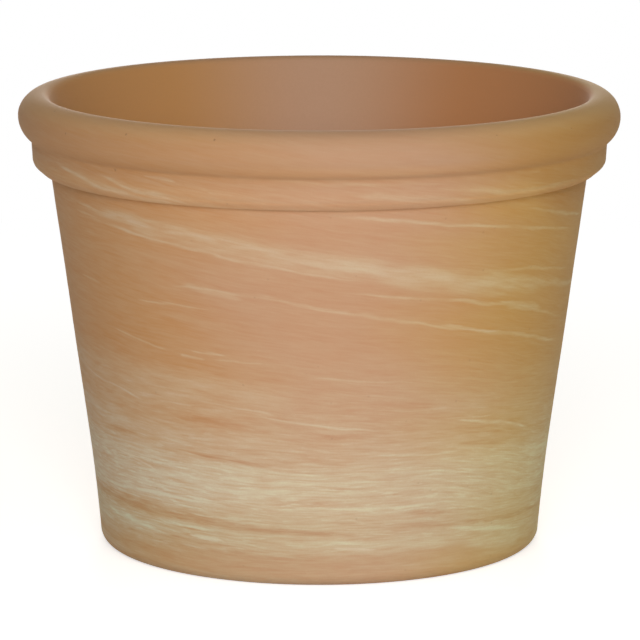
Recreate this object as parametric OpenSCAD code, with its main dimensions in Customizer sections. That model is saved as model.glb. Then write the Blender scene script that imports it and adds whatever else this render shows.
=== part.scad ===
// Round floor pot of fired clay, turned as one piece: a rolled rim over a plain collar,
// a straight tapered wall that eases out at the foot, a floor with one drain hole, and
// a foot ring round a shallow recess. Millimetres, with +Z up along the axis of turning
// and the origin at the middle of the face that the pot stands on.

/* [Overall] */
// Diameter over the rolled rim
rim_d = 330; // [290:1:400]
// Height from the ground to the top of the rim
pot_h = 250; // [180:1:340]
// Diameter of the wall just above the rounded edge of the foot
foot_d = 243.3; // [200:0.1:280]

/* [Rolled rim] */
// Radius of the upper half of the bead that the rim is rolled to
bead_r = 12.6; // [11:0.1:15]
// Radius of the bead's fuller lower half
belly_r = 15.4; // [15:0.1:19]
// How far the bead stands out past the top of the collar
bead_proud = 7.2; // [4:0.1:9]
// Radius of the cove between the bead and the collar
groove_r = 3; // [1:0.1:5]
// Radius of the edge where the bead turns into the mouth
lip_r = 5.3; // [3:0.1:8]
// Lean of the mouth just under the lip, in degrees from plumb
mouth_lean = 20; // [14:1:30]

/* [Collar] */
// Drop from the top of the rim to the collar's flat underside
collar_drop = 42.2; // [40:0.1:60]
// How far the collar's face draws in between its top and its lower edge
collar_draw = 0.5; // [0:0.1:3]
// How far the collar's face stands out from the top of the wall
collar_stand = 9.7; // [8:0.1:14]
// Radius of the collar's lower edge
edge_r = 5.2; // [3:0.1:10]
// Bevel under that edge, in degrees from level
edge_bevel = 40; // [25:1:60]
// Width of the flat underside between the bevel and the wall
ledge_w = 4.6; // [1:0.1:7]

/* [Wall] */
// Thickness of the wall, measured level
wall_t = 12; // [8:0.5:16]
// How far the wall eases out of its straight taper at the foot
foot_ease = 1.4; // [0:0.1:3]
// Height at which that easing starts
ease_h = 60; // [30:1:90]

/* [Floor and foot] */
// Height of the inside floor above the ground
floor_z = 16; // [12:0.5:24]
// Radius between the inside wall and the floor
floor_fillet = 18; // [6:1:30]
// Radius of the foot's outer edge
foot_round = 7.5; // [1:0.5:9]
// Width of the ring that the pot stands on
ring_w = 16; // [8:1:40]
// Depth of the recess inside that ring
recess_h = 4; // [1:0.5:6]
// Diameter of the drain hole
drain_d = 28; // [12:1:60]
// Radius of the drain hole's upper and lower edges
drain_round = 2; // [0.5:0.5:3]

/* [Hidden] */
$fn = 180;
clay = [0.78, 0.58, 0.42];

// Steps in a small arc and in a long easy curve
SMALL = 6;
LONG = 12;
// Points closer than this are one point
SAME = 0.001;

rim_r = rim_d / 2;
foot_r = foot_d / 2;
drain_r = drain_d / 2;

// Rim: the centres of the bead's two arcs, then the cove that touches the lower one and the collar
bead_c = [rim_r - bead_r, pot_h - bead_r];
belly_c = [rim_r - belly_r, bead_c[1]];
collar_top_r = rim_r - bead_proud;
cove_dr = collar_top_r + groove_r - belly_c[0];
cove_dz = sqrt(pow(belly_r + groove_r, 2) - pow(cove_dr, 2));
cove_c = belly_c + [cove_dr, -cove_dz];
cove_a = atan2(cove_dz, cove_dr);

// Collar: its face, the rounded lower edge, the bevel and the flat underside
collar_r = collar_top_r - collar_draw;
under_z = pot_h - collar_drop;
wall_top_r = collar_r - collar_stand;
bevel_in = [wall_top_r + ledge_w, under_z];
bevel_w = collar_r - edge_r * (1 - sin(edge_bevel)) - bevel_in[0];
edge_c = [collar_r - edge_r, under_z + bevel_w * tan(edge_bevel) + edge_r * cos(edge_bevel)];

// Wall: the straight taper, and what the foot adds to it
taper = (wall_top_r - foot_r + foot_ease) / (under_z - foot_round);
function straight_r(z) = foot_r - foot_ease + taper * (z - foot_round);
function eased_r(z) = straight_r(z) + foot_ease * pow((ease_h - z) / (ease_h - foot_round), 2);
function inner_r(z) = straight_r(z) - wall_t;

// Mouth: from the end of the lip's arc to where its line meets the inside wall
lip_c = [bead_c[0], pot_h - lip_r];
lip_end = lip_c + lip_r * [-cos(mouth_lean), sin(mouth_lean)];
mouth_h = (lip_end[0] - inner_r(lip_end[1])) / (tan(mouth_lean) - taper);
mouth_turn = lip_end - mouth_h * [tan(mouth_lean), 1];
mouth_end = mouth_turn - mouth_h * [taper, 1];

// Floor: the fillet touches the floor and the inside wall
wall_a = atan(taper);
fillet_z = floor_z + floor_fillet;
fillet_c = [inner_r(fillet_z) - floor_fillet / cos(wall_a), fillet_z];

// Foot: the ring that the pot stands on
ring_out = foot_r - foot_round;
ring_in = ring_out - ring_w;
step_r = recess_h / 2;

// Points on an arc about c from angle a0 to a1
function arc(c, r, a0, a1, n) =
    [for (i = [0:n]) let (a = a0 + (a1 - a0) * i / n) c + r * [cos(a), sin(a)]];

// Points on a curve that leaves p0 towards p1 and arrives at p2 from p1
function curve(p0, p1, p2, n) =
    [for (i = [0:n]) let (t = i / n) (1 - t) * (1 - t) * p0 + 2 * t * (1 - t) * p1 + t * t * p2];

// The same points without repeats
function once(p) = [for (i = [0:len(p) - 1]) if (i == 0 || norm(p[i] - p[i - 1]) > SAME) p[i]];

function foot_edge() = arc([ring_out, foot_round], foot_round, -90, 0, SMALL);
function wall_outside() = concat(
    [for (i = [1:LONG]) let (z = foot_round + (ease_h - foot_round) * i / LONG) [eased_r(z), z]],
    [[wall_top_r, under_z]]);
function collar() = concat([bevel_in], arc(edge_c, edge_r, edge_bevel - 90, 0, SMALL * 2));
function rim() = concat(
    arc(cove_c, groove_r, 180, 180 - cove_a, SMALL),
    arc(belly_c, belly_r, -cove_a, 0, SMALL * 2),
    arc(bead_c, bead_r, 0, 90, SMALL * 2),
    arc(lip_c, lip_r, 90, 180 - mouth_lean, SMALL));
function inside() = concat(
    curve(lip_end, mouth_turn, mouth_end, LONG),
    arc(fillet_c, floor_fillet, -wall_a, -90, SMALL * 2));
function drain_hole() = concat(
    arc([drain_r + drain_round, floor_z - drain_round], drain_round, 90, 180, SMALL),
    arc([drain_r + drain_round, recess_h + drain_round], drain_round, 180, 270, SMALL));
function recess() = concat(
    arc([ring_in - recess_h, step_r], step_r, 90, 0, SMALL),
    arc([ring_in, step_r], step_r, 180, 270, SMALL));

// Cross-section of the pot to one side of its axis
module section() {
    polygon(once(concat(
        foot_edge(), wall_outside(), collar(), rim(), inside(), drain_hole(), recess())));
}

// The whole pot, turned from its cross-section
module pot() {
    color(clay) rotate_extrude() section();
}

pot();
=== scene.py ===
# %% [markdown]
# # A marbled terracotta flower pot
# The object is one piece of fired clay: a rolled rim over a plain collar, a tapered wall,
# a floor with a drain hole and a foot ring. The imported CAD model is loaded first and stays
# fixed, so that everything made here can be measured against it.

# %% Load the frame
import math

import bpy
import numpy as np
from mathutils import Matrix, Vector, noise


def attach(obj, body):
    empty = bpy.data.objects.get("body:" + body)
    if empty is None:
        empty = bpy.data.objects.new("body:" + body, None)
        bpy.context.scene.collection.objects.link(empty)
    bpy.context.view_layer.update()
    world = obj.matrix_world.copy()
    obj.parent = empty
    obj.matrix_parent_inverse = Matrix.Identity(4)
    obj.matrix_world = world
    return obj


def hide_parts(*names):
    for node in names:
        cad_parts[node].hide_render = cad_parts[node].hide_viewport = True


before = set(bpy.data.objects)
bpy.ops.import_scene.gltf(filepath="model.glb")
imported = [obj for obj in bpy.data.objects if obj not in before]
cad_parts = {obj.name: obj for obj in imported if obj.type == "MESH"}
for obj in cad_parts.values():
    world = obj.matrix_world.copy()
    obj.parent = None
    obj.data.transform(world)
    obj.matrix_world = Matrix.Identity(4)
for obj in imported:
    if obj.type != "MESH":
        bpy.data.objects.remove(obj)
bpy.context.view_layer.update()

# %% [markdown]
# ## Camera
# The photograph was taken from straight ahead and a little above, with a long lens. The
# curve of the rim against the curve of the foot gives the distance, and the height of the
# pot in the picture then gives the lens. A camera could also be aimed by a constraint, but
# plain numbers keep the pot's outline where the photograph has it.

# %% Place the camera
# The place is in metres and the angles are in degrees
CAMERA_PLACE = (0.0, -2.5007, 0.590)
CAMERA_PITCH = 10.598
CAMERA_YAW = -0.0082
LENS_MM, SENSOR_MM = 258.9, 36

camera = bpy.data.objects.new("camera", bpy.data.cameras.new("camera"))
camera.location = CAMERA_PLACE
camera.rotation_euler = (math.radians(90 - CAMERA_PITCH), 0, math.radians(CAMERA_YAW))
camera.data.lens = LENS_MM
camera.data.sensor_width = SENSOR_MM
bpy.context.scene.collection.objects.link(camera)
bpy.context.scene.camera = camera
print("camera looks down by", CAMERA_PITCH, "degrees from", -CAMERA_PLACE[1], "m")

# %% [markdown]
# ## Node helpers
# Every finish here is drawn by shader nodes. They could be placed by hand in the shader
# editor, but a few small helpers keep the recipes readable: they make a node and feed its
# sockets, do sums, turn a range of values into a soft step, and mix or write a colour.

# %% Helpers that place shader nodes
def feed(tree, socket, value):
    """Link a socket, or set a plain number or colour on it."""
    if isinstance(value, bpy.types.NodeSocket):
        tree.links.new(value, socket)
    else:
        socket.default_value = value


def place(tree, kind, inputs=(), **settings):
    """Add a node, apply its settings and feed its inputs, given by name or by number."""
    node = tree.nodes.new("ShaderNode" + kind)
    for name, value in settings.items():
        setattr(node, name, value)
    for key, value in dict(inputs).items():
        feed(tree, node.inputs[key], value)
    return node


def sums(tree, operation, *values):
    """One Math node, such as ADD or MULTIPLY."""
    return place(tree, "Math", enumerate(values), operation=operation).outputs[0]


def step(tree, value, start, end, low=0.0, high=1.0, kind="SMOOTHSTEP"):
    """A soft step: low up to start, high from end on."""
    sockets = {"Value": value, "From Min": start, "From Max": end, "To Min": low, "To Max": high}
    return place(tree, "MapRange", sockets, interpolation_type=kind, clamp=True).outputs[0]


def blend(tree, amount, first, second, mode="MIX"):
    """Mix two colours."""
    node = place(tree, "Mix", data_type="RGBA", blend_type=mode)
    for key, value in ((0, amount), (6, first), (7, second)):
        feed(tree, node.inputs[key], value)
    return node.outputs[2]


def paint(red, green, blue):
    """A colour from the 0-255 numbers of a picture, as the linear colour that Blender wants."""
    scaled = [part / 255 for part in (red, green, blue)]
    linear = [c / 12.92 if c < 0.04045 else ((c + 0.055) / 1.055) ** 2.4 for c in scaled]
    return (*linear, 1.0)


print("white is", [round(c, 2) for c in paint(255, 255, 255)])

# %% [markdown]
# ## Studio
# The pot was photographed against pure white. A bright white world would be the simplest way,
# but it would light the pot from all sides and wash out its shading. So the white is only
# the world's colour as the camera sees it, and what the world sheds is weak and a little warm.

# %% Make the white world
SKY_LIGHT = 0.185
SKY_TINT = (1.0, 0.94, 0.76, 1.0)
WHITE, BLACK = (1.0, 1.0, 1.0, 1.0), (0.0, 0.0, 0.0, 1.0)

bpy.context.scene.view_settings.view_transform = "Standard"


def seen_white(tree):
    """1 where the camera, a reflection or a clear surface looks straight at something."""
    rays = place(tree, "LightPath")
    mirrored = sums(tree, "MAXIMUM", rays.outputs["Is Glossy Ray"], rays.outputs["Is Transmission Ray"])
    return sums(tree, "MAXIMUM", rays.outputs["Is Camera Ray"], mirrored)


world = bpy.data.worlds.new("studio")
world.use_nodes = True
bpy.context.scene.world = world
sky = world.node_tree
sky.nodes.clear()
soft_light = place(sky, "Background", {"Color": SKY_TINT, "Strength": SKY_LIGHT})
plain_white = place(sky, "Background", {"Color": WHITE, "Strength": 1.0})
two_skies = {0: seen_white(sky), 1: soft_light.outputs[0], 2: plain_white.outputs[0]}
shown_sky = place(sky, "MixShader", two_skies)
place(sky, "OutputWorld", {"Surface": shown_sky.outputs[0]})
print("world sheds", SKY_LIGHT, "and looks white")

# %% [markdown]
# The floor is a plain pale one that still takes the pot's shadow. Close by it is a matt
# surface, shown a step lighter to the camera, and far out it fades to the white of the world,
# so that no horizon shows. A bent paper backdrop would do it too, but would stand in the side
# views. The floor lies a tenth of a millimetre under the foot, because two faces in one plane
# would flicker.

# %% Mix the floor's finish
FLOOR_COLOUR = (0.88, 0.88, 0.87, 1.0)
FLOOR_LIFT = 0.62
FADE_FROM, FADE_TO = 0.30, 1.10

floor_finish = bpy.data.materials.new("pale_floor")
floor_finish.use_nodes = True
tree = floor_finish.node_tree
tree.nodes.clear()
matt = place(tree, "BsdfDiffuse", {"Color": FLOOR_COLOUR})
white = place(tree, "Emission", {"Color": WHITE, "Strength": 1.0})
lift = place(tree, "Emission", {"Color": WHITE, "Strength": FLOOR_LIFT})
none = place(tree, "Emission", {"Color": BLACK, "Strength": 0.0})
seen = seen_white(tree)
lifted = place(tree, "MixShader", {0: seen, 1: none.outputs[0], 2: lift.outputs[0]})
near = place(tree, "AddShader", {0: matt.outputs[0], 1: lifted.outputs[0]})
spot = place(tree, "TexCoord").outputs["Object"]
from_middle = place(tree, "VectorMath", {0: spot}, operation="LENGTH").outputs["Value"]
far_off = step(tree, from_middle, FADE_FROM, FADE_TO)
fade = sums(tree, "MULTIPLY", far_off, seen)
shown_floor = place(tree, "MixShader", {0: fade, 1: near.outputs[0], 2: white.outputs[0]})
place(tree, "OutputMaterial", {"Surface": shown_floor.outputs[0]})
print("floor fades to white from", FADE_FROM, "to", FADE_TO, "m away")

# %% Lay the floor
FLOOR_HALF = 6.0
FLOOR_GAP = 0.0001

floor_mesh = bpy.data.meshes.new("floor")
corners = [(-1, -1), (1, -1), (1, 1), (-1, 1)]
spread = [(x * FLOOR_HALF, y * FLOOR_HALF, -FLOOR_GAP) for x, y in corners]
floor_mesh.from_pydata(spread, [], [(0, 1, 2, 3)])
floor_mesh.materials.append(floor_finish)
floor = bpy.data.objects.new("floor", floor_mesh)
bpy.context.scene.collection.objects.link(floor)
print("floor is", 2 * FLOOR_HALF, "m wide")

# %% [markdown]
# ## Lamps
# Four soft discs light the pot. The main one stands in front and above, as a big soft box
# does, which leaves the two sides a shade darker. A second hangs over the floor in front, so
# that light bounces up to the foot. A third stands behind, low enough to keep off the rim's
# top, because a buyer looks at the back too, and a weak warm one stands on the right, where
# the photograph is golden. Small lamps would be simpler but draw hard shadows. The power is
# set so that a colour that faces the camera renders about as it is written.

# %% Hang the lamps
LAMPS = {
    # name: (place, aimed at, size in metres, watts, colour)
    "front_box": ((0.05, -2.6, 0.98), (0, 0, 0.12), 1.0, 32.6, (0.98, 0.975, 1.0)),
    "floor_box": ((0.0, -0.95, 0.50), (0, -0.95, 0.0), 0.9, 3.0, (1.0, 0.99, 1.0)),
    "back_box": ((0.0, 2.8, 0.62), (0, 0, 0.12), 1.0, 40.0, (1.0, 0.99, 0.985)),
    "right_box": ((2.2, -0.6, 0.6), (0, 0, 0.12), 1.2, 1.6, (1.0, 0.95, 0.75)),
}

for name, (at, target, size, watts, colour) in LAMPS.items():
    lamp = bpy.data.objects.new(name, bpy.data.lights.new(name, "AREA"))
    lamp.location = at
    lamp.rotation_euler = (Vector(target) - Vector(at)).to_track_quat("-Z", "Y").to_euler()
    lamp.data.shape = "DISK"
    lamp.data.size = size
    lamp.data.energy = watts
    lamp.data.color = colour
    lamp.visible_camera = False
    bpy.context.scene.collection.objects.link(lamp)
    print(name, "gives", watts, "W")

# %% [markdown]
# ## The section of the pot
# A potter's machine shapes the clay with a turning mould and a profile blade, so the whole
# pot is one section turned about its axis. Its sizes are the ones of the CAD model. They
# are repeated here because this file makes a much finer mesh, which the waves and the
# uneven turning of real clay need.

# %% Sizes of the section, in metres
MM = 0.001
RIM_R, POT_H, FOOT_R = 165 * MM, 250 * MM, 121.65 * MM
BEAD_R, BELLY_R, BEAD_PROUD, GROOVE_R = 12.6 * MM, 15.4 * MM, 7.2 * MM, 3 * MM
LIP_R, MOUTH_LEAN = 5.3 * MM, math.radians(20)
COLLAR_DROP, COLLAR_DRAW, COLLAR_STAND = 42.2 * MM, 0.5 * MM, 9.7 * MM
EDGE_R, EDGE_BEVEL, LEDGE_W = 5.2 * MM, math.radians(40), 4.6 * MM
WALL_T, FOOT_EASE, EASE_H = 12 * MM, 1.4 * MM, 60 * MM
FLOOR_Z, FLOOR_FILLET, FOOT_ROUND = 16 * MM, 18 * MM, 7.5 * MM
RING_W, RECESS_H, DRAIN_R, DRAIN_ROUND = 16 * MM, 4 * MM, 14 * MM, 2 * MM

# Rim and collar
bead_c = np.array([RIM_R - BEAD_R, POT_H - BEAD_R])
belly_c = np.array([RIM_R - BELLY_R, bead_c[1]])
collar_top_r = RIM_R - BEAD_PROUD
cove_dr = collar_top_r + GROOVE_R - belly_c[0]
cove_dz = math.sqrt((BELLY_R + GROOVE_R) ** 2 - cove_dr**2)
cove_c = belly_c + [cove_dr, -cove_dz]
cove_a = math.atan2(cove_dz, cove_dr)
collar_r = collar_top_r - COLLAR_DRAW
under_z = POT_H - COLLAR_DROP
wall_top_r = collar_r - COLLAR_STAND
bevel_in = np.array([wall_top_r + LEDGE_W, under_z])
bevel_w = collar_r - EDGE_R * (1 - math.sin(EDGE_BEVEL)) - bevel_in[0]
edge_z = under_z + bevel_w * math.tan(EDGE_BEVEL) + EDGE_R * math.cos(EDGE_BEVEL)
edge_c = np.array([collar_r - EDGE_R, edge_z])
taper = (wall_top_r - FOOT_R + FOOT_EASE) / (under_z - FOOT_ROUND)


def straight_r(z):
    return FOOT_R - FOOT_EASE + taper * (z - FOOT_ROUND)


def inner_r(z):
    return straight_r(z) - WALL_T


print("the wall leans out by", round(math.degrees(math.atan(taper)), 2), "degrees")

# %% [markdown]
# ## Points along the section
# Arcs, straight stretches and two easy curves make the section. Each is cut into steps that
# suit its form: fine on the rolled rim, coarse on the floor that hardly shows. A bevel
# modifier on a rough outline could round the corners too, but real arcs keep every radius.

# %% Helpers for arcs, lines and a curve
def arc(centre, radius, start, end, step_mm):
    """Points on an arc between two angles, in radians."""
    count = max(4, math.ceil(abs(end - start) * radius / (step_mm * MM)))
    angles = np.linspace(start, end, count + 1)
    return np.array(centre) + radius * np.stack([np.cos(angles), np.sin(angles)], 1)


def line(start, end, step_mm):
    """Points on a straight stretch, without its ends."""
    start, end = np.array(start, float), np.array(end, float)
    count = max(2, math.ceil(np.linalg.norm(end - start) / (step_mm * MM)))
    return start + (end - start) * np.linspace(0, 1, count + 1)[1:-1, None]


def easy_curve(start, turn, end, count):
    """Points on a curve that leaves towards its turning point and arrives from it."""
    t = np.linspace(0, 1, count + 1)[:, None]
    return (1 - t) ** 2 * start + 2 * t * (1 - t) * turn + t**2 * end


quarter = arc((0, 0), 10 * MM, 0, math.pi / 2, 1)
print("a quarter circle of 10 mm radius in 1 mm steps has", len(quarter), "points")

# %% The outside, from the foot up
# Each arc and line ends with the length of its steps in millimetres
EASED_POINTS = 36

foot_edge = arc((FOOT_R - FOOT_ROUND, FOOT_ROUND), FOOT_ROUND, -math.pi / 2, 0, 0.8)
eased_z = np.linspace(FOOT_ROUND, EASE_H, EASED_POINTS)[1:]
eased_r = straight_r(eased_z) + FOOT_EASE * ((EASE_H - eased_z) / (EASE_H - FOOT_ROUND)) ** 2
wall = np.concatenate([
    np.stack([eased_r, eased_z], 1),
    line((straight_r(EASE_H), EASE_H), (wall_top_r, under_z), 1.6),
    [[wall_top_r, under_z]]])
edge = arc(edge_c, EDGE_R, EDGE_BEVEL - math.pi / 2, 0, 0.8)
cove = arc(cove_c, GROOVE_R, math.pi, math.pi - cove_a, 0.45)
collar = np.concatenate([
    line((wall_top_r, under_z), bevel_in, 1.2), [bevel_in], line(bevel_in, edge[0], 0.9),
    edge, line(edge[-1], cove[0], 1.1), cove])
bead = np.concatenate([
    arc(belly_c, BELLY_R, -cove_a, 0, 0.85)[1:], arc(bead_c, BEAD_R, 0, math.pi / 2, 0.85)[1:]])
print(len(wall), "points up the wall,", len(collar), "on the collar,", len(bead), "on the bead")

# %% The lip, the mouth and the inside
MOUTH_POINTS = 26

lip_c = np.array([bead_c[0], POT_H - LIP_R])
lip = arc(lip_c, LIP_R, math.pi / 2, math.pi - MOUTH_LEAN, 0.6)[1:]
lip_end = lip[-1]
mouth_h = (lip_end[0] - inner_r(lip_end[1])) / (math.tan(MOUTH_LEAN) - taper)
mouth_turn = lip_end - mouth_h * np.array([math.tan(MOUTH_LEAN), 1])
mouth_end = mouth_turn - mouth_h * np.array([taper, 1])
mouth = easy_curve(lip_end, mouth_turn, mouth_end, MOUTH_POINTS)[1:]
fillet_z = FLOOR_Z + FLOOR_FILLET
wall_a = math.atan(taper)
fillet_c = np.array([inner_r(fillet_z) - FLOOR_FILLET / math.cos(wall_a), fillet_z])
fillet = arc(fillet_c, FLOOR_FILLET, -wall_a, -math.pi / 2, 1.6)
print("the mouth's curve ends", round((POT_H - mouth_end[1]) / MM, 1), "mm below the top")

# %% The drain hole and the foot ring, and all of it joined
LEAST_GAP = 0.02 * MM

hole_r = DRAIN_R + DRAIN_ROUND
hole_top = arc((hole_r, FLOOR_Z - DRAIN_ROUND), DRAIN_ROUND, math.pi / 2, math.pi, 0.6)
hole_foot = arc((hole_r, RECESS_H + DRAIN_ROUND), DRAIN_ROUND, math.pi, 1.5 * math.pi, 0.6)
ring_in = FOOT_R - FOOT_ROUND - RING_W
half = RECESS_H / 2
recess = np.concatenate([
    arc((ring_in - RECESS_H, half), half, math.pi / 2, 0, 0.6),
    arc((ring_in, half), half, math.pi, 1.5 * math.pi, 0.6)])
section = np.concatenate([
    foot_edge, wall, collar, bead, lip, mouth, line(mouth_end, fillet[0], 2.6), fillet,
    line(fillet[-1], hole_top[0], 4), hole_top, line(hole_top[-1], hole_foot[0], 1.5), hole_foot,
    line(hole_foot[-1], recess[0], 4), recess, line(recess[-1], foot_edge[0], 2.5)])
gaps = np.linalg.norm(np.roll(section, -1, 0) - section, axis=1)
section = section[gaps > LEAST_GAP]
print(len(section), "points round the section")

# %% [markdown]
# ## Unevenness of turned clay
# Clay that is pressed and turned is never a perfect surface. The wall waves by a tenth or two
# of a millimetre, faint rings follow the blade, the pot is a trace out of round, and the
# groove under the rim runs a little lower on the right than on the left. The waves only go
# inward and die out at the foot, so that the pot keeps inside its size and stands flat. A
# displace modifier could do it too, but noise read at each point lets every wave be measured.

# %% Turn the section and give it its waves
AROUND = 240
WAVE_MM, RINGS_MM, OVAL_MM = 0.16, 0.05, 0.10
WAVES_ROUND, WAVE_RISE = 2.2, 45 * MM
RINGS_ROUND, RING_PITCH = 0.7, 0.37
OVAL_TURN = 0.8
EVEN_BELOW = 6 * MM
GROOVE_DIP_MM = 0.55

tangent = np.roll(section, -1, 0) - np.roll(section, 1, 0)
tangent /= np.linalg.norm(tangent, axis=1)[:, None]
outward = np.stack([tangent[:, 1], -tangent[:, 0]], 1)


def ramp(x, start, end):
    """0 before start, 1 after end, soft between them."""
    t = np.clip((x - start) / (end - start), 0, 1)
    return t * t * (3 - 2 * t)


def unevenness(angle, at, index):
    """How far one point lies under the perfect surface, in metres."""
    x, y = math.cos(angle), math.sin(angle)
    wave = noise.noise(Vector((WAVES_ROUND * x, WAVES_ROUND * y, at[1] / WAVE_RISE)))
    rings = noise.noise(Vector((RINGS_ROUND * x, RINGS_ROUND * y, index * RING_PITCH)))
    oval = math.cos(2 * angle + OVAL_TURN)
    standing = min(1.0, at[1] / EVEN_BELOW)
    depth = WAVE_MM * (wave - 0.5) + RINGS_MM * (rings - 1) + OVAL_MM * (oval - 1) / 2
    return min(0.0, depth) * MM * standing


groove_dip = ramp(section[:, 1], under_z, bead_c[1] - BELLY_R)
groove_dip *= 1 - ramp(section[:, 1], bead_c[1], POT_H - 2 * MM)
groove_dip = np.where(section[:, 0] > collar_r - EDGE_R, groove_dip, 0) * GROOVE_DIP_MM * MM

points = []
for turn in range(AROUND):
    angle = 2 * math.pi * turn / AROUND
    for index, at in enumerate(section):
        r, z = at + outward[index] * unevenness(angle, at, index)
        z -= groove_dip[index] * math.cos(angle)
        points.append((r * math.cos(angle), r * math.sin(angle), z))
points = np.array(points)
print(len(points), "points; they lie from", points.min(0).round(5), "to", points.max(0).round(5))

# %% [markdown]
# ## The mesh
# The rings are joined by four-sided faces. The section is a closed loop that never touches
# the axis, because of the drain hole, so the mesh is one closed skin like a real pot's. In a
# closed skin every edge lies between two faces, which is counted at the end. Looking for loose
# edges wouldn't show it, because the rim of a hole isn't loose.

# %% Join the rings into one skin
count = len(section)
faces = []
for turn in range(AROUND):
    here, there = turn * count, (turn + 1) % AROUND * count
    for i in range(count):
        j = (i + 1) % count
        faces.append((here + i, there + i, there + j, here + j))

pot_mesh = bpy.data.meshes.new("turned_pot")
pot_mesh.from_pydata(points.tolist(), [], faces)
pot_mesh.polygons.foreach_set("use_smooth", [True] * len(faces))
pot_mesh.update()
pot = bpy.data.objects.new("turned_pot", pot_mesh)
bpy.context.scene.collection.objects.link(pot)
edge_of_corner = np.empty(len(pot_mesh.loops), np.int32)
pot_mesh.loops.foreach_get("edge_index", edge_of_corner)
faces_per_edge = np.bincount(edge_of_corner, minlength=len(pot_mesh.edges))
print(len(faces), "faces; every edge has two of them:", bool((faces_per_edge == 2).all()))

# %% [markdown]
# ## Where on the pot
# The marbling is described as a potter would see it: how far round from the front, in
# degrees, and how high, in millimetres. Both come from the object's own coordinates, so
# the marbling stays on the clay when the pot is turned or exported.

# %% Start the clay's material
clay = bpy.data.materials.new("marbled_terracotta")
clay.use_nodes = True
tree = clay.node_tree
tree.nodes.clear()

spot = place(tree, "TexCoord").outputs["Object"]
place_xyz = place(tree, "SeparateXYZ", {0: spot})
across, deep, up = place_xyz.outputs
toward = sums(tree, "MULTIPLY", deep, -1)
azimuth = sums(tree, "MULTIPLY", sums(tree, "ARCTAN2", across, toward), 180 / math.pi)
across_mm = sums(tree, "MULTIPLY", across, 1 / MM)
deep_mm = sums(tree, "MULTIPLY", deep, 1 / MM)
height = sums(tree, "MULTIPLY", up, 1 / MM)
print("azimuth and height are ready")

# %% [markdown]
# The marbling and the pores are only on the outside. Two materials on two sets of faces could
# keep them there, but would meet in a hard line. Here the distance from the inner wall tells
# the two sides apart, and the change comes softly, part of the way over the lip.

# %% Tell the outside from the inside
OUTSIDE_FROM, OUTSIDE_TO = 6.5 * MM, 10 * MM

across_squared, deep_squared = sums(tree, "POWER", across, 2), sums(tree, "POWER", deep, 2)
radius = sums(tree, "SQRT", sums(tree, "ADD", across_squared, deep_squared))
inner_wall = sums(tree, "MULTIPLY_ADD", up, taper, inner_r(0))
outside = step(tree, sums(tree, "SUBTRACT", radius, inner_wall), OUTSIDE_FROM, OUTSIDE_TO)
print("the marbling is full from", round(OUTSIDE_TO / MM), "mm out from the inner wall")

# %% [markdown]
# ## Layered noise
# Marbled clay is two clays kneaded together, so it lies in layers, and the turning mould
# draws them out into long thin lines. They lie a little tilted, as the slices of a block do,
# and fall to the right in front. Noise that is stretched level and squeezed in height gives
# them. The wall could be unrolled for that, but noise read at the clay's own place has no
# seam, and goes right through the wall like real layers.

# %% Noise in drawn-out layers
LAYER_FALL = 0.13
ROUGHNESS = 0.55
SEED_SHIFT = (3.1, 5.7, 7.3)


def layer(length, thickness, seed, fall=LAYER_FALL, level=None, detail=3.0):
    """One set of layers, length and thickness in millimetres."""
    tilted = sums(tree, "MULTIPLY_ADD", across_mm, fall, level or height)
    where = place(tree, "CombineXYZ", {0: across_mm, 1: deep_mm, 2: tilted}).outputs[0]
    stretch = (1 / length, 1 / length, 1 / thickness)
    shift = tuple(part * seed for part in SEED_SHIFT)
    drawn_out = place(tree, "VectorMath", {0: where, 1: stretch, 2: shift}, operation="MULTIPLY_ADD")
    field = {"Vector": drawn_out.outputs[0], "Scale": 1.0, "Detail": detail, "Roughness": ROUGHNESS}
    return place(tree, "TexNoise", field).outputs[0]


def centred(field):
    """Noise moved down by a half, so that it pushes both ways."""
    return sums(tree, "SUBTRACT", field, 0.5)


print(f"the layers fall by {LAYER_FALL / MM:.0f} mm in each metre to the right, unless told otherwise")

# %% [markdown]
# ## Single streaks
# Some streaks stand out from the rest, and where they lie gives this pot its look. A streak
# is a soft band that starts and ends at given angles, falls from one height to another and
# fades at its ends. One copy of a small group lays three of them at once, one in each number
# of a vector, which is quicker to render than one by one. The copies are chained like beads:
# each takes the place and the strongest streak so far as one vector and hands both on. Side
# by side they would all have to be held at once, which is more than a shader can do.

# %% The group's sockets and its own sums
STREAK_SOCKETS = ("Start", "End", "Start height", "End height", "Bow", "Width", "Strength")
streak = bpy.data.node_groups.new("three_streaks", "ShaderNodeTree")
for name in ("So far", *STREAK_SOCKETS):
    streak.interface.new_socket(name, in_out="INPUT", socket_type="NodeSocketVector")
streak.interface.new_socket("Handed on", in_out="OUTPUT", socket_type="NodeSocketVector")
given = streak.nodes.new("NodeGroupInput").outputs


def triple(operation, *values):
    """One sum done on all three numbers of a vector."""
    return place(streak, "VectorMath", enumerate(values), operation=operation).outputs[0]


def triple_step(value, start, end, low, high, kind="SMOOTHSTEP"):
    """A soft step done on all three numbers of a vector."""
    settings = {"data_type": "FLOAT_VECTOR", "interpolation_type": kind, "clamp": True}
    node = place(streak, "MapRange", {6: value, 7: start, 8: end, 9: low, 10: high}, **settings)
    return node.outputs[1]


def thrice(number):
    """One number for all three streaks."""
    return (number, number, number)


print("each streak has", len(STREAK_SOCKETS), "numbers")

# %% The group's nodes, for three streaks
# A streak's hump is 0 at both ends and 1 in the middle, and its width and strength follow it
WIDTH_AT_ENDS = 0.4
FULL_FROM_HUMP = 0.55
NOTHING, WHOLE = thrice(0.0), thrice(1.0)

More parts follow.
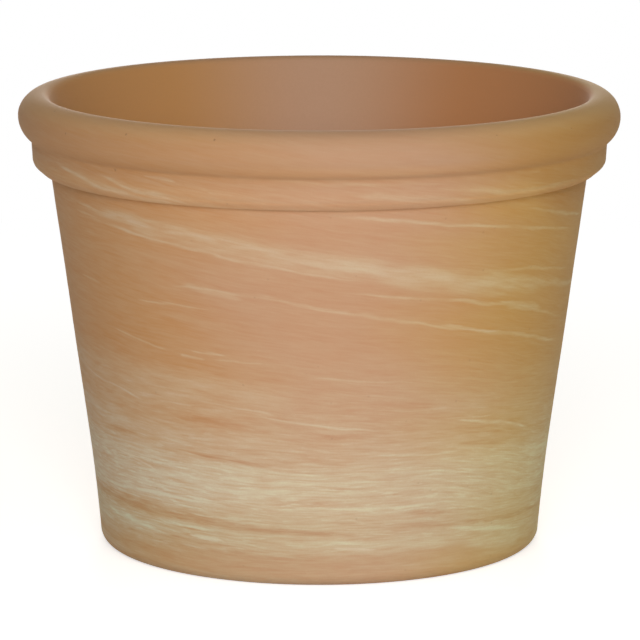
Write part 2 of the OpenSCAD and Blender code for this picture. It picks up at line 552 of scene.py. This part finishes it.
angle_here, height_here, strongest = place(streak, "SeparateXYZ", {0: given["So far"]}).outputs
along = triple_step(angle_here, given["Start"], given["End"], NOTHING, WHOLE, kind="LINEAR")
middle = triple_step(along, NOTHING, WHOLE, given["Start height"], given["End height"], kind="LINEAR")
hump = triple("MULTIPLY", along, triple("MULTIPLY_ADD", along, thrice(-4.0), thrice(4.0)))
centre = triple("MULTIPLY_ADD", hump, given["Bow"], middle)
away = triple("ABSOLUTE", triple("SUBTRACT", height_here, centre))
fuller = triple("MULTIPLY_ADD", hump, thrice(1 - WIDTH_AT_ENDS), thrice(WIDTH_AT_ENDS))
breadth = triple("MULTIPLY", given["Width"], fuller)
body = triple_step(away, NOTHING, breadth, WHOLE, NOTHING)
ends = triple_step(hump, NOTHING, thrice(FULL_FROM_HUMP), NOTHING, WHOLE)
mask = triple("MULTIPLY", triple("MULTIPLY", body, ends), given["Strength"])
first, second, third = place(streak, "SeparateXYZ", {0: mask}).outputs
strongest = sums(streak, "MAXIMUM", strongest, sums(streak, "MAXIMUM", first, second))
strongest = sums(streak, "MAXIMUM", strongest, third)
handed_on = place(streak, "CombineXYZ", {0: angle_here, 1: height_here, 2: strongest})
streak_out = streak.nodes.new("NodeGroupOutput")
streak.links.new(handed_on.outputs[0], streak_out.inputs[0])
print("streak group has", len(streak.nodes), "nodes")

# %% [markdown]
# ## The streaks of this pot
# Noise alone would put streaks anywhere, and a painted picture couldn't be changed streak by
# streak. So the pale ones are listed one by one, by where they start and end round the pot, their
# two heights, how far they bow up in the middle, their half width and how strong they are.
# The ones behind are made up in the same manner, because the photograph doesn't show them.

# %% List the pale streaks
PALE = [
    # start, end, height at start, at end, bow, half width, strength
    # The broad streak under the collar, its two edges first
    (-72, 48, 203, 163, 1.5, 1.9, 0.36),
    (-68, 14, 197, 166, 1.0, 1.7, 0.28),
    (-63, 44, 200, 159, 3.0, 9.5, 0.38),
    (-4, 60, 181, 152, 0.5, 11.0, 0.40),
    (4, 76, 163, 131, 3.0, 1.7, 0.32),
    (26, 74, 171, 160, 0.0, 1.7, 0.22),
    (38, 86, 163, 147, 0.0, 3.8, 0.26),
    (42, 60, 150, 142, 0.0, 2.0, 0.32),
    # The thin streak below it
    (-34, 6, 163, 152, 2.5, 1.7, 0.28),
    (-10, 36, 158, 137, 0.5, 1.8, 0.34),
    (24, 72, 144, 120, 0.0, 1.9, 0.34),
    (32, 46, 140, 134, 0.0, 1.1, 0.30),
    (-31, -16, 164, 158, 0.0, 3.4, 0.22),
    (-44, -24, 153.5, 152, 0.0, 1.2, 0.34),
    (-54, -36, 134, 127, 0.0, 1.2, 0.30),
    # Near the collar
    (2, 76, 204, 180, 1.5, 1.6, 0.34),
    (48, 80, 201, 186, 0.0, 1.6, 0.33),
    # Short ones on the plain middle of the wall
    (-3, 24, 116, 112.5, 0.0, 1.1, 0.17),
    (27, 41, 116.5, 115, 0.0, 1.0, 0.15),
    (-33, -26, 125, 123, 0.0, 1.3, 0.34),
    (-30, -21, 127.5, 126.5, 0.0, 1.1, 0.30),
    (-25, -12, 124, 122.5, 0.0, 1.0, 0.20),
    (-66, -56, 158, 157, 0.0, 1.2, 0.20),
    (-60, -50, 113, 111, 0.0, 1.2, 0.24),
    (-110, 0, 114, 104, 0.0, 17.0, 0.14),
    (-73, -44, 105.5, 96.5, 0.0, 1.2, 0.34),
    (-54, -29, 106, 104.5, 0.0, 1.3, 0.22),
    (-42, -26, 97, 98.5, 0.0, 1.2, 0.18),
    (-30, -9, 100.5, 95.5, 0.0, 1.2, 0.22),
    (-15, 15, 95, 87, 0.0, 1.2, 0.32),
    (-66, -26, 82, 79, 0.0, 1.4, 0.20),
    (12, 28, 98, 97, 0.0, 1.3, 0.16),
    (25, 44, 99, 93, 0.0, 4.0, 0.18),
    (30, 46, 91.5, 88, 0.0, 1.1, 0.20),
    (33, 62, 89.5, 74, 1.0, 1.5, 0.46),
    # In the pale belt and below it
    (8, 36, 76.5, 70, 0.0, 1.8, 0.36),
    (-84, -30, 88, 76, 0.0, 10.0, 0.18),
    (-72, -20, 43, 45.5, 0.5, 1.6, 0.36),
    (-8, 34, 46.5, 42, 0.0, 1.6, 0.34),
    (-70, -44, 27, 23.5, 0.0, 2.6, 0.40),
    (-48, -22, 28.5, 30, 0.0, 1.5, 0.36),
    (-50, 0, 16.5, 16.5, 2.5, 1.6, 0.30),
    (-4, 36, 24, 20, 1.0, 3.4, 0.24),
    (32, 68, 29.5, 14, 1.0, 2.0, 0.36),
    (36, 104, 16, 8, 0.0, 10.0, 0.42),
    (6, 70, 11, 8, 0.0, 6.0, 0.16),
    (-92, -46, 9, 7.5, 0.0, 6.0, 0.18),
    # On the collar
    (-64, -26, 221, 209, -2.2, 3.0, 0.32),
    (-49, -12, 221, 207.5, -2.6, 2.3, 0.30),
    (-36, -28, 222, 220.5, 0.0, 1.2, 0.22),
    (-22, -16, 216, 214.5, 0.0, 1.3, 0.16),
    (-10, 26, 222.5, 221, 0.0, 1.8, 0.14),
    (6, 32, 216, 211, 0.0, 3.2, 0.22),
    (20, 62, 220, 209.5, -1.0, 2.4, 0.22),
    (36, 80, 214, 209, 0.0, 1.5, 0.18),
    (40, 48, 223.5, 221.5, 0.0, 1.2, 0.26),
    # Behind
    (104, 236, 166, 194, 5.0, 8.0, 0.40),
    (112, 226, 174, 202, 3.0, 1.8, 0.34),
    (124, 200, 168, 182, 2.0, 4.0, 0.30),
    (136, 228, 134, 160, 0.0, 1.9, 0.38),
    (150, 250, 124, 150, 2.0, 1.6, 0.33),
    (112, 184, 106, 124, 0.0, 1.7, 0.28),
    (184, 246, 190, 204, 0.0, 1.7, 0.30),
    (196, 258, 112, 122, 0.0, 1.9, 0.28),
    (100, 180, 84, 94, 0.0, 1.7, 0.32),
    (146, 216, 211, 221, 0.0, 2.4, 0.24),
]
print(len(PALE), "pale streaks")

# %% [markdown]
# Brown bands run low on the wall, where the main clay shows through the pale belt, and a few
# flecks of almost white clay lie in it. Both are listed in the same way.

# %% List the brown bands and the flecks
BROWN = [
    (-88, -20, 35, 35.5, 0.0, 6.5, 0.50),
    (-40, 12, 36.5, 28, 0.0, 3.4, 0.50),
    (0, 48, 36, 29, 0.0, 4.0, 0.32),
    (40, 88, 30, 24, 0.0, 3.0, 0.30),
    (19, 36, 40.5, 37, 0.0, 1.6, 0.30),
    (-46, -20, 21.5, 22, 0.0, 1.4, 0.35),
    (-80, 8, 20, 17, 0.0, 4.5, 0.30),
    (-36, -14, 90, 88, 0.0, 3.2, 0.25),
    (-68, -48, 77, 75, 0.0, 2.6, 0.25),
    (-32, -10, 70, 67.5, 0.0, 2.2, 0.30),
    (0, 14, 86, 84, 0.0, 2.2, 0.20),
    (34, 54, 75, 71, 0.0, 2.8, 0.22),
    (96, 190, 42, 34, 0.0, 4.5, 0.50),
    (170, 262, 38, 28, 0.0, 3.8, 0.45),
]
WHITE = [
    (-58, -50, 63, 62, 0.0, 1.1, 0.45),
    (-52, -43, 60.5, 58, 0.0, 1.1, 0.45),
    (-35, -24, 24.5, 24, 0.0, 1.5, 0.55),
    (3, 15, 21, 20, 0.0, 1.4, 0.45),
    (32, 44, 139.5, 134.5, 0.0, 0.9, 0.25),
    (150, 162, 52, 51, 0.0, 1.4, 0.40),
]
print(len(BROWN), "brown bands and", len(WHITE), "flecks")

# %% [markdown]
# No streak has a ruled edge. Each could be drawn as a bent curve, but it is less work to bend
# the ruler: the streaks read a height that slow and fine noise push up and down. The ones in
# front are read by the angle from the front, and the ones behind, past 90 degrees, by an
# angle that runs on through the back, so that none is cut there. Last, patches of noise thin
# the pale ones here and there.

# %% Make the streaks waver
WAVER_MM, FINE_WAVER_MM = 8.0, 3.5

swept = sums(tree, "MULTIPLY_ADD", centred(layer(90, 30, 1.0, detail=2.0)), WAVER_MM, height)
wavy = sums(tree, "MULTIPLY_ADD", centred(layer(22, 5, 2.0)), FINE_WAVER_MM, swept)
print("the heights that the streaks read sway by up to", (WAVER_MM + FINE_WAVER_MM) / 2, "mm")

# %% Lay the streaks
BACK_FROM = 90
PATCHES, PATCHY_LOW, PATCHY_HIGH = (0.32, 0.62), 0.45, 1.15

whole_turn = sums(tree, "WRAP", azimuth, BACK_FROM + 180, BACK_FROM - 180)


def lay_streaks(rows):
    """The strongest of the listed streaks at each point, laid three at a time."""
    strongest = 0.0
    for angle, behind in ((azimuth, False), (whole_turn, True)):
        so_far = place(tree, "CombineXYZ", {0: angle, 1: wavy, 2: strongest}).outputs[0]
        side = [row for row in rows if (row[0] > BACK_FROM) == behind]
        for i in range(0, len(side), 3):
            three = (side[i:i + 3] * 3)[:3]
            node = tree.nodes.new("ShaderNodeGroup")
            node.node_tree = streak
            for key, value in zip(("So far", *STREAK_SOCKETS), (so_far, *zip(*three))):
                feed(tree, node.inputs[key], value)
            so_far = node.outputs[0]
        strongest = place(tree, "SeparateXYZ", {0: so_far}).outputs[2]
    return strongest


patchy = step(tree, layer(30, 5, 12.0), *PATCHES, PATCHY_LOW, PATCHY_HIGH)
pale_streaks = sums(tree, "MULTIPLY", lay_streaks(PALE), patchy)
brown_streaks = lay_streaks(BROWN)
white_flecks = lay_streaks(WHITE)
print(sum(node.bl_idname == "ShaderNodeGroup" for node in tree.nodes), "copies of the group")

# %% [markdown]
# ## Pale clay low on the wall
# Below the middle the pale clay comes in many fine level lines, thickest about a fifth of
# the way up, and the foot is plain again. A colour ramp over the height says how much of
# it there is, which is easier to read and to change than a formula. There is a little more
# towards the sides, where the colours also turn. Slow noise makes that change uneven.

# %% Find the sides, where the colours turn
SIDE_DRIFT, FRONT_MIDDLE = 60.0, 6
RECOLOURED_OVER, BACK_OVER = (8, 54), (110, 165)

drift = centred(layer(240, 60, 6.0, detail=2.0))
turned = sums(tree, "SUBTRACT", sums(tree, "MULTIPLY_ADD", drift, SIDE_DRIFT, azimuth), FRONT_MIDDLE)
recoloured = step(tree, sums(tree, "ABSOLUTE", turned), *RECOLOURED_OVER)
behind = step(tree, sums(tree, "ABSOLUTE", azimuth), *BACK_OVER)
recoloured = sums(tree, "MULTIPLY", recoloured, sums(tree, "SUBTRACT", 1.0, behind))
left, right = RECOLOURED_OVER[1] - FRONT_MIDDLE, RECOLOURED_OVER[1] + FRONT_MIDDLE
print("the sides are fully fired from about", left, "degrees on the left and", right, "on the right")

# %% Say how much pale clay lies at each height
PALE_BY_HEIGHT = [
    # height in mm, share of pale clay
    (0, 0.13), (12, 0.10), (17, 0.26), (21, 0.47), (26, 0.51), (32, 0.45), (37, 0.50),
    (43, 0.66), (52, 0.68), (60, 0.63), (67, 0.50), (75, 0.34), (85, 0.24), (95, 0.17),
    (106, 0.11), (117, 0.05), (130, 0.01), (204, 0.01), (212, 0.05), (226, 0.02), (250, 0.0),
]
MORE_AT_SIDES = 0.12

by_height = place(tree, "ValToRGB", {0: sums(tree, "DIVIDE", height, POT_H / MM)})
stops = by_height.color_ramp.elements
while len(stops) < len(PALE_BY_HEIGHT):
    stops.new(0.5)
for stop, (level, amount) in zip(stops, PALE_BY_HEIGHT):
    stop.position = level * MM / POT_H
    stop.color = (amount, amount, amount, 1)
fuller_at_sides = sums(tree, "MULTIPLY_ADD", recoloured, MORE_AT_SIDES, 1.0)
share = sums(tree, "MULTIPLY", by_height.outputs[0], fuller_at_sides)
print("pale clay is thickest at", max(PALE_BY_HEIGHT, key=lambda row: row[1])[0], "mm")

# %% [markdown]
# ## Fibres of pale clay
# The share of pale clay is only a tendency. Three sets of layers, long and broad, middling,
# and hair fine, are added to it like the fibres of a brush stroke. One noise with many
# octaves would be simpler, but its broad and its fine lines couldn't be made stronger or
# weaker by themselves. All the lines fall more steeply high on the wall, and droop on the
# right, as they do where the clay was twisted in the mould. They are calmer on the right, low
# in the belt and on the roll.

# %% Let the layers fall and droop
FALL_LOW, FALL_HIGH, STEEPER_OVER = 0.02, 0.14, (60, 150)
DROOP_MM, DROOP_RISE, DROOP_FADE = 18, (20, 95), (105, 175)
DROOP_AT_FOOT, FOOT_RANGE = 0.35, (15, 45)


def band(value, rise, fall):
    """A soft hump: up from 0 to 1 over the rise, and down again over the fall."""
    return sums(tree, "MULTIPLY", step(tree, value, *rise), step(tree, value, *fall, 1.0, 0.0))


level_fall = step(tree, height, *STEEPER_OVER, FALL_LOW, FALL_HIGH)
droop = sums(tree, "MULTIPLY", band(azimuth, DROOP_RISE, DROOP_FADE), DROOP_MM)
less_at_foot = step(tree, height, *FOOT_RANGE, DROOP_AT_FOOT, 1.0)
drooping = sums(tree, "MULTIPLY_ADD", droop, less_at_foot, swept)
print("the layers droop by up to", DROOP_MM, "mm on the right")

# %% Draw three sets of fibres
BROAD_SHARE, MIDDLING_SHARE, HAIR_SHARE = 0.8, 0.9, 1.1
CALM_LOW, BELT_RANGE = 0.70, (48, 62)


def fibre_layer(length, thickness, seed, fall=level_fall):
    """Layers that droop as the fibres do, length and thickness in millimetres."""
    return layer(length, thickness, seed, fall=fall, level=drooping)


broad = fibre_layer(150, 9, 3.0)
middling = fibre_layer(34, 2.6, 4.0)
hair = fibre_layer(13, 1.1, 5.0)
middling_share = step(tree, height, *BELT_RANGE, CALM_LOW * MIDDLING_SHARE, MIDDLING_SHARE)
fibres = 0.0
for field, part in ((broad, BROAD_SHARE), (middling, middling_share), (hair, HAIR_SHARE)):
    fibres = sums(tree, "MULTIPLY_ADD", centred(field), part, fibres)
print("three sets of fibres; the middling ones keep", CALM_LOW, "of their strength low down")

# %% Calm them on the right and on the roll
CALMER_ON_RIGHT, RIGHT_HALF = 0.16, ((-5, 45), (110, 170))
CALM_ON_ROLL, ROLL_RANGE = 0.60, (222, 232)

calm = sums(tree, "MULTIPLY_ADD", band(azimuth, *RIGHT_HALF), -CALMER_ON_RIGHT, 1.0)
calm = sums(tree, "MULTIPLY", calm, step(tree, height, *ROLL_RANGE, 1.0, CALM_ON_ROLL))
fibres = sums(tree, "MULTIPLY", fibres, calm)
print("they keep", 1 - CALMER_ON_RIGHT, "of it on the right and", CALM_ON_ROLL, "on the roll")

# %% [markdown]
# The fibres count for more where there is more pale clay to be drawn out, so the streaks and
# the belt break into lines and the plain clay between them stays calm. The brown bands take
# pale clay away, and short bright dashes are added last. A sharp step would cut the sum into
# two flat colours. A long even one lets the two clays melt into each other, and leaves a
# little pale clay in the plain one too. Flecks of almost white clay lie where it is palest.

# %% Add up the pale clay
FIBRES_PLAIN, FIBRES_IN_BELT, FIBRES_IN_STREAK = 0.26, 1.25, 0.60
DASHES_PLAIN, DASHES_IN_BELT, DASH_NOISE = 0.02, 0.40, (0.54, 0.68)
BROWN_TAKES = 0.65
MARBLED_UP_TO = (223, 228)
PLAIN_TO_PALE = (-0.10, 1.06)

below_roll = step(tree, height, *MARBLED_UP_TO, 1.0, 0.0)
weight = sums(tree, "MULTIPLY_ADD", share, FIBRES_IN_BELT, FIBRES_PLAIN)
weight = sums(tree, "MULTIPLY_ADD", pale_streaks, FIBRES_IN_STREAK, weight)
tendency = sums(tree, "MULTIPLY", sums(tree, "ADD", share, pale_streaks), below_roll)
tendency = sums(tree, "MULTIPLY_ADD", brown_streaks, -BROWN_TAKES, tendency)
tendency = sums(tree, "MULTIPLY_ADD", fibres, weight, tendency)
dashes = sums(tree, "MULTIPLY", step(tree, fibre_layer(11, 1.4, 9.0), *DASH_NOISE), calm)
dashed = sums(tree, "MULTIPLY_ADD", share, DASHES_IN_BELT, DASHES_PLAIN)
tendency = sums(tree, "MULTIPLY_ADD", dashes, dashed, tendency)
pale_clay = step(tree, tendency, *PLAIN_TO_PALE, kind="LINEAR")
pale_clay = sums(tree, "MULTIPLY", pale_clay, outside)
print("plain clay is pale by", round(-PLAIN_TO_PALE[0] / (PLAIN_TO_PALE[1] - PLAIN_TO_PALE[0]), 2))

# %% Sprinkle the flecks
FLECK_NOISE, FLECK_STRENGTH = (0.66, 0.78), 0.5
FLECKS_IN_PALE = (0.45, 0.9)

flecks = step(tree, fibre_layer(12, 1.5, 8.0, fall=FALL_LOW), *FLECK_NOISE, 0.0, FLECK_STRENGTH)
flecks = sums(tree, "MULTIPLY", flecks, step(tree, pale_clay, *FLECKS_IN_PALE))
flecks = sums(tree, "MAXIMUM", flecks, white_flecks)
print("flecks that aren't listed lie where the clay is pale by", FLECKS_IN_PALE[0], "or more")

# %% [markdown]
# ## The colours of the clay
# Front and back are a soft pinkish tan, which turns orange towards the left and golden towards
# the right, and the pale clay turns a little with it. A picture of the pot wrapped round it
# would be quicker than mixing colours, but it would blur and be tied to one pot.

# %% Mix the two clays
CLAY = paint(194, 146, 111)
CLAY_ORANGE = paint(194, 140, 86)
CLAY_GOLDEN = paint(196, 147, 72)
CREAM = paint(216, 205, 174)
CREAM_GREY = paint(217, 207, 181)
CREAM_GOLDEN = paint(221, 211, 165)
TURNS_WITHIN = 0.35

sideways = sums(tree, "SINE", sums(tree, "RADIANS", azimuth))
rightward = step(tree, sideways, -TURNS_WITHIN, TURNS_WITHIN)
side_clay = blend(tree, rightward, CLAY_ORANGE, CLAY_GOLDEN)
side_cream = blend(tree, rightward, CREAM_GREY, CREAM_GOLDEN)
base = blend(tree, recoloured, CLAY, side_clay)
cream = blend(tree, recoloured, CREAM, side_cream)
marbled = blend(tree, pale_clay, base, cream)
turning = round(math.degrees(math.asin(TURNS_WITHIN)))
print("orange turns to golden within", turning, "degrees on either side of the front")

# %% [markdown]
# Brown lines show low on the wall, broken by the same fibres, and near the foot all of the
# clay is a little less red, most of all on the left. A third clay in the mix could do it, but
# a thin coat over the marbled colour is simpler and keeps the lines under it in sight.

# %% Draw the brown lines and the flecks
BROWN_LINE, BROWN_AMOUNT = paint(188, 150, 115), 0.30
BROKEN_BY_FIBRES = 0.8
LINE_STEP, LINE_ENDS = (0.1, 0.7), (0.0, 0.25)
FLECK = paint(226, 215, 190)

broken = sums(tree, "MULTIPLY_ADD", fibres, -BROKEN_BY_FIBRES, brown_streaks)
brown_line = step(tree, broken, *LINE_STEP)
brown_line = sums(tree, "MULTIPLY", brown_line, step(tree, brown_streaks, *LINE_ENDS))
marbled = blend(tree, sums(tree, "MULTIPLY", brown_line, BROWN_AMOUNT), marbled, BROWN_LINE)
marbled = blend(tree, flecks, marbled, FLECK)
print("brown lines cover the clay by up to", BROWN_AMOUNT)

# %% Take some red out of the foot
LOW_TINT = (0.975, 1.055, 1.035, 1.0)
LOW_RANGE, LESS_ON_RIGHT = (30, 48), 0.4


def tinted(colour, amount, tint):
    """A colour times a tint, by the given amount."""
    return blend(tree, amount, colour, tint, mode="MULTIPLY")


left_most = step(tree, rightward, 0, 1, 1, LESS_ON_RIGHT)
low_down = sums(tree, "MULTIPLY", step(tree, height, *LOW_RANGE, 1, 0), left_most)
marbled = tinted(marbled, low_down, LOW_TINT)
print("the foot's tint ends at", LOW_RANGE[1], "mm")

# %% [markdown]
# ## The roll and the collar
# The roll is darker than the wall, partly in its own clay and partly by painted shade, and it
# has warm painted shade below its middle. On the right the painted shade comes down over the
# collar and a little below it. The collar's lower edge has painted light, less so at the far
# left, and so has the roll's underside in front and behind. The roll's top is paler, from dust
# and painted light. The photograph's light isn't known well enough to be rebuilt with lamps, so
# all of it is a set of tints that come and go softly with the height.

# %% Paint shade on the roll
ROLL_SHADE = (0.93, 0.94, 0.96, 1.0)
ROLL_SHADE_LEFT = (0.90, 0.89, 0.93, 1.0)
ROLL_SHADE_RIGHT = (0.86, 0.80, 0.78, 1.0)
SHADE_STARTS, SHADE_FULL, SHADE_FADES = 215, 224, (238, 249)
STARTS_ON_RIGHT, FULL_ON_RIGHT, FAR_RIGHT = 178, 206, ((40, 66), (110, 170))

# Painted shade: the roll's shade colours darken the roll, partly as its own clay and partly as shade,
# and on the right down over the collar
side_shade = blend(tree, rightward, ROLL_SHADE_LEFT, ROLL_SHADE_RIGHT)
roll_shade = blend(tree, recoloured, ROLL_SHADE, side_shade)
on_right = band(azimuth, *FAR_RIGHT)
shade_from = sums(tree, "MULTIPLY_ADD", on_right, STARTS_ON_RIGHT - SHADE_STARTS, SHADE_STARTS)
shade_to = sums(tree, "MULTIPLY_ADD", on_right, FULL_ON_RIGHT - SHADE_FULL, SHADE_FULL)
on_roll = step(tree, height, shade_from, shade_to)
on_roll = sums(tree, "MULTIPLY", on_roll, step(tree, height, *SHADE_FADES, 1.0, 0.0))
marbled = tinted(marbled, on_roll, roll_shade)
print("the shade is full from", SHADE_FULL, "mm, and on the right from", FULL_ON_RIGHT, "mm")

# %% Paint warm shade on the belly, and paint light on the collar's edge and the roll's underside
BELLY_SHADE, BELLY_SHADE_BAND = (1.0, 0.95, 0.83, 1.0), ((219, 226), (226, 234))
EDGE_LIGHT, EDGE_LIGHT_BAND = (1.17, 1.13, 1.07, 1.0), ((204.5, 207), (211, 213.5))
EDGE_FAR_LEFT, LESS_FAR_LEFT = (-0.85, -0.62), 0.3
UNDER_ROLL_LIGHT, UNDER_ROLL_LIGHT_BAND = (1.10, 1.10, 1.07, 1.0), ((225, 228), (228.5, 234))

# Painted shade: a warm, darker band below the middle of the bead
marbled = tinted(marbled, band(height, *BELLY_SHADE_BAND), BELLY_SHADE)
# Painted light: the collar's lower edge, which faces down, is made paler
less_on_left = step(tree, sideways, *EDGE_FAR_LEFT, LESS_FAR_LEFT, 1.0)
edge_lit = sums(tree, "MULTIPLY", band(height, *EDGE_LIGHT_BAND), less_on_left)
marbled = tinted(marbled, edge_lit, EDGE_LIGHT)
# Painted light: the roll's underside is made paler in front and behind
under_roll_lit = sums(tree, "MULTIPLY", band(height, *UNDER_ROLL_LIGHT_BAND), sums(tree, "SUBTRACT", 1.0, recoloured))
marbled = tinted(marbled, under_roll_lit, UNDER_ROLL_LIGHT)
print("three tints on the belly, the collar's edge and the underside of the roll")

# %% Pale the top of the roll with dust and painted light
DUST_AND_LIGHT = paint(212, 177, 130)
TOP_PALE_IN_FRONT, TOP_PALE_AT_SIDES, TOP_PALE_RANGE = 0.12, 0.35, (240, 249)

# The paler top is partly dust and partly painted light from above
dust_and_light = step(tree, recoloured, 0.0, 1.0, TOP_PALE_IN_FRONT, TOP_PALE_AT_SIDES, kind="LINEAR")
marbled = blend(tree, sums(tree, "MULTIPLY", dust_and_light, step(tree, height, *TOP_PALE_RANGE)), marbled, DUST_AND_LIGHT)
print("dust covers the top by", TOP_PALE_IN_FRONT, "in front and", TOP_PALE_AT_SIDES, "at the sides")

# %% [markdown]
# ## The inside
# The inside is plain clay from the inner edge of the lip down: orange on the left and brown on
# the right, with painted light that makes it paler at the back, most of all high up. A second
# material would give it a look of its own as well, but here the two looks melt over the lip.

# %% Colour the inside
INSIDE_ORANGE = paint(205, 152, 94)
INSIDE_BROWN = paint(199, 140, 92)
BACK_LIGHT_COLOUR = paint(207, 166, 136)
BACK_LIGHT_TURN, BACK_LIGHT_RISE = (142, 180), (40, 170)

inner = blend(tree, rightward, INSIDE_ORANGE, INSIDE_BROWN)
# Painted light on the back of the inside, growing with the height
at_back = step(tree, sums(tree, "ABSOLUTE", azimuth), *BACK_LIGHT_TURN)
painted_back_light = sums(tree, "MULTIPLY", at_back, step(tree, height, *BACK_LIGHT_RISE))
inner = blend(tree, painted_back_light, inner, BACK_LIGHT_COLOUR)
coloured = blend(tree, outside, inner, marbled)
print("the bloom spreads", BACK_LIGHT_TURN[1] - BACK_LIGHT_TURN[0], "degrees to either side of the back")

# %% [markdown]
# ## Grain, pores and gloss
# Fired clay is matt and slightly rough to the touch: a fine even grain, hair lines left by
# the turning blade, and a few dark pores outside, most of them on the roll. These are
# smaller than the mesh's faces, and a mesh fine enough for them would be very heavy, so they
# are bumps in the material. Dust on the surface catches light at the edges, which a little
# sheen gives. No more gloss is added: raw clay has hardly any.

# %% Spread the grain and the pores
GRAIN_SCALE, PORE_SCALE = 900.0, 150.0
PORE_PICK, PORE_WIDTH = (0.78, 0.9), (0.04, 0.13)
PORES_LOW, MORE_PORES_OVER = 0.35, (200, 232)

specks = {"Vector": spot, "Scale": GRAIN_SCALE, "Detail": 3.0, "Roughness": 0.6}
grain = place(tree, "TexNoise", specks).outputs[0]
cells = place(tree, "TexVoronoi", {"Vector": spot, "Scale": PORE_SCALE})
pick = place(tree, "SeparateColor", {0: cells.outputs["Color"]})
more_on_roll = step(tree, height, *MORE_PORES_OVER, PORES_LOW, 1.0)
few = sums(tree, "MULTIPLY", step(tree, pick.outputs[0], *PORE_PICK), more_on_roll)
few = sums(tree, "MULTIPLY", few, outside)
pore = sums(tree, "MULTIPLY", step(tree, cells.outputs["Distance"], *PORE_WIDTH, 1.0, 0.0), few)
print(f"grain about {1 / GRAIN_SCALE / MM:.1f} mm, pores in cells of {1 / PORE_SCALE / MM:.1f} mm")

# %% Raise the grain, sink the pores and darken them
HAIR_RELIEF, GRAIN_RELIEF, PORE_RELIEF = 0.5, 0.35, 2.0
BUMP_STRENGTH, BUMP_HEIGHT = 0.6, 0.25 * MM
PORE, PORE_AMOUNT = paint(132, 94, 66), 0.40
SPECK_NOISE, SPECK_AMOUNT = (0.3, 0.7), 0.10

relief = sums(tree, "MULTIPLY_ADD", hair, HAIR_RELIEF, sums(tree, "MULTIPLY", grain, GRAIN_RELIEF))
relief = sums(tree, "SUBTRACT", relief, sums(tree, "MULTIPLY", pore, PORE_RELIEF))
bump = place(tree, "Bump", {"Strength": BUMP_STRENGTH, "Distance": BUMP_HEIGHT, "Height": relief})
pitted = blend(tree, sums(tree, "MULTIPLY", pore, PORE_AMOUNT), coloured, PORE)
speckled = blend(tree, step(tree, grain, *SPECK_NOISE, 0.0, SPECK_AMOUNT), pitted, BROWN_LINE)
print("the bumps are", BUMP_HEIGHT / MM, "mm high for a whole step of relief")

# %% Finish the clay
ROUGH_NOISE, ROUGH_LOW, ROUGH_HIGH = (0.2, 0.8), 0.78, 0.92
SHEEN_TINT = (1.0, 0.97, 0.92, 1.0)

finish = place(tree, "BsdfPrincipled", {
    "Base Color": speckled, "Roughness": step(tree, grain, *ROUGH_NOISE, ROUGH_LOW, ROUGH_HIGH),
    "Specular IOR Level": 0.3, "Sheen Weight": 0.075, "Sheen Roughness": 0.5,
    "Sheen Tint": SHEEN_TINT, "Normal": bump.outputs[0]})
place(tree, "OutputMaterial", {"Surface": finish.outputs[0]})
pot_mesh.materials.append(clay)
print(len(tree.nodes), "nodes in the clay")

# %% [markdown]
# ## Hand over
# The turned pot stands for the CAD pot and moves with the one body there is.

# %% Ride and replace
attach(pot, "root")
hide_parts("pot")
